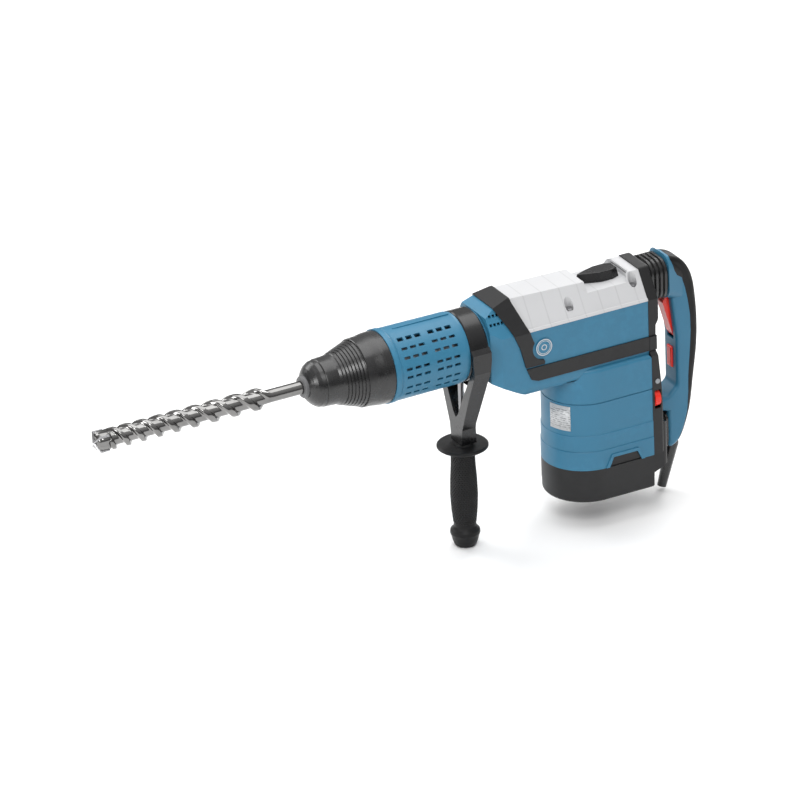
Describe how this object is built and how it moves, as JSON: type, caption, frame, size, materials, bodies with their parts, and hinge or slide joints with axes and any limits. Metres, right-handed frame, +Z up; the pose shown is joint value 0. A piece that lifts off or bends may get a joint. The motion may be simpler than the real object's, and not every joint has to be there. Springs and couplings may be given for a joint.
{
  "type": "rotary demolition hammer",
  "caption": "Corded rotary demolition hammer with vented barrel, sprung tool lock, crank-driven hammer, side grip, cushioned D handle and masonry bit.",
  "frame": {"origin": "on the spindle axis, at the front plane of the barrel's nose ring", "axes": "+X back along the spindle towards the rear handle, +Z up, -Y the badge side with the speed wheel"},
  "size_m": [0.9055, 0.12, 0.3582],
  "materials": {
    "blue_plastic": "satin moulded",
    "black_plastic": "fine textured",
    "gloss_black": "smooth",
    "black_rubber": "dotted grip",
    "nose_rubber": "smooth matt",
    "white_plastic": "satin moulded",
    "red_plastic": "smooth",
    "grey_lens": "smooth",
    "badge_metal": "satin",
    "cast_metal": "cast",
    "polished_steel": "polished",
    "tool_steel": "ground",
    "spring_steel": "drawn",
    "screw_steel": "zinc plated",
    "seal_rubber": "smooth",
    "core_steel": "laminated",
    "copper": "turned",
    "carbon": "pressed",
    "board_green": "potted"
  },
  "bodies": {
    "housing": {"barrel_shell": "blue_plastic", "nose_collar": "nose_rubber", "hammer_case": "cast_metal", "spindle_bearings": "tool_steel", "gear_housing": "blue_plastic", "top_cover": "white_plastic", "bumper_band": "black_plastic", "side_stripes": "black_plastic", "badge_discs": "badge_metal", "motor_housing": "blue_plastic", "motor_base": "black_plastic", "base_cap": "black_plastic", "rear_cover": "black_plastic", "lower_rear_cover": "black_plastic", "indicator_lens": "grey_lens", "bearing_plate": "cast_metal", "gear_bearings": "tool_steel", "motor_bracket": "cast_metal", "motor_bearings": "tool_steel", "stator": "core_steel", "brush_holders": "black_plastic", "carbon_brushes": "carbon", "electronics_module": "board_green", "guide_pins": "tool_steel", "housing_screws": "screw_steel", "bellows": "nose_rubber", "handle_springs": "spring_steel"},
    "spindle": {"spindle": "tool_steel", "bevel_gear": "tool_steel", "dust_cap": "nose_rubber", "shank_seal": "seal_rubber", "locking_rollers": "tool_steel", "sleeve_spring": "spring_steel"},
    "sleeve": {"locking_sleeve": "nose_rubber"},
    "drill": {"drill_bit": "polished_steel"},
    "beat_piece": {"beat_piece": "tool_steel"},
    "striker": {"striker": "tool_steel"},
    "piston": {"piston": "cast_metal"},
    "rod": {"connecting_rod": "cast_metal", "wrist_pin": "tool_steel"},
    "crank": {"crankshaft": "tool_steel", "crank_gear": "tool_steel"},
    "intermediate": {"bevel_pinion_shaft": "tool_steel", "intermediate_gear": "tool_steel"},
    "armature": {"armature_shaft": "tool_steel", "armature_core": "core_steel", "commutator": "copper", "cooling_fan": "black_plastic"},
    "side_handle": {"clamp_band": "gloss_black", "handle_yoke": "gloss_black", "clamp_bolt": "screw_steel"},
    "grip": {"side_grip": "black_rubber"},
    "mode_lever": {"mode_lever": "gloss_black"},
    "rear_handle": {"handle_body": "blue_plastic", "handle_overmould": "black_rubber", "strain_relief": "nose_rubber", "switch_module": "black_plastic"},
    "trigger": {"trigger": "red_plastic"},
    "lock_button": {"lock_button": "red_plastic"},
    "speed_wheel": {"speed_wheel": "red_plastic"}
  },
  "joints": [
    {"name": "motor_spin", "type": "hinge", "parent": "housing", "child": "armature", "pos_m": [0.308, 0, 0], "axis": [0, 0, 1], "continuous": true},
    {"name": "crank_spin", "type": "hinge", "parent": "housing", "child": "crank", "pos_m": [0.263, 0, 0], "axis": [0, 0, 1], "continuous": true},
    {"name": "intermediate_spin", "type": "hinge", "parent": "housing", "child": "intermediate", "pos_m": [0.2105, 0, 0], "axis": [0, 0, 1], "continuous": true},
    {"name": "spindle_spin", "type": "hinge", "parent": "housing", "child": "spindle", "pos_m": [0, 0, 0], "axis": [1, 0, 0], "continuous": true},
    {"name": "rod_swing", "type": "hinge", "parent": "crank", "child": "rod", "pos_m": [0.252, 0, 0], "axis": [0, 0, 1], "continuous": true},
    {"name": "piston_stroke", "type": "slide", "parent": "housing", "child": "piston", "axis": [1, 0, 0], "range_m": [0, 0.022]},
    {"name": "striker_stroke", "type": "slide", "parent": "housing", "child": "striker", "axis": [1, 0, 0], "range_m": [0, 0.04]},
    {"name": "beat_piece_slide", "type": "slide", "parent": "spindle", "child": "beat_piece", "axis": [1, 0, 0], "range_m": [0, 0.005]},
    {"name": "bit_play", "type": "slide", "parent": "spindle", "child": "drill", "axis": [-1, 0, 0], "range_m": [0, 0.008]},
    {"name": "sleeve_slide", "type": "slide", "parent": "spindle", "child": "sleeve", "axis": [1, 0, 0], "range_m": [0, 0.012], "stiffness_N_per_m": 1500, "deforming": ["sleeve_spring"]},
    {"name": "side_handle_swivel", "type": "hinge", "parent": "housing", "child": "side_handle", "pos_m": [0.127, 0, 0], "axis": [1, 0, 0], "continuous": true},
    {"name": "grip_turn", "type": "hinge", "parent": "side_handle", "child": "grip", "pos_m": [0.122, 0, 0], "axis": [0, 0, 1], "continuous": true},
    {"name": "mode_turn", "type": "hinge", "parent": "housing", "child": "mode_lever", "pos_m": [0.334, 0, 0], "axis": [0, 0, 1], "range_deg": [-90, 90]},
    {"name": "handle_cushion", "type": "slide", "parent": "housing", "child": "rear_handle", "axis": [-1, 0, 0], "range_m": [0, 0.006], "stiffness_N_per_m": 12000, "deforming": ["bellows", "handle_springs"]},
    {"name": "trigger_pull", "type": "hinge", "parent": "rear_handle", "child": "trigger", "pos_m": [0.452, 0, -0.062], "axis": [0, 1, 0], "range_deg": [0, 6], "stiffness_Nm_per_rad": 1.2},
    {"name": "lock_button_press", "type": "slide", "parent": "rear_handle", "child": "lock_button", "axis": [1, 0, 0], "range_m": [0, 0.0025], "stiffness_N_per_m": 800},
    {"name": "speed_turn", "type": "hinge", "parent": "housing", "child": "speed_wheel", "pos_m": [0.391, -0.047, -0.127], "axis": [1, 0, 0], "range_deg": [0, 270]}
  ],
  "couplings": [
    {"joint": "crank_spin", "follows": "motor_spin", "ratio": -0.2},
    {"joint": "rod_swing", "follows": "motor_spin", "ratio": 0.2},
    {"joint": "intermediate_spin", "follows": "motor_spin", "ratio": 0.5},
    {"joint": "spindle_spin", "follows": "motor_spin", "ratio": -0.175}
  ]
}
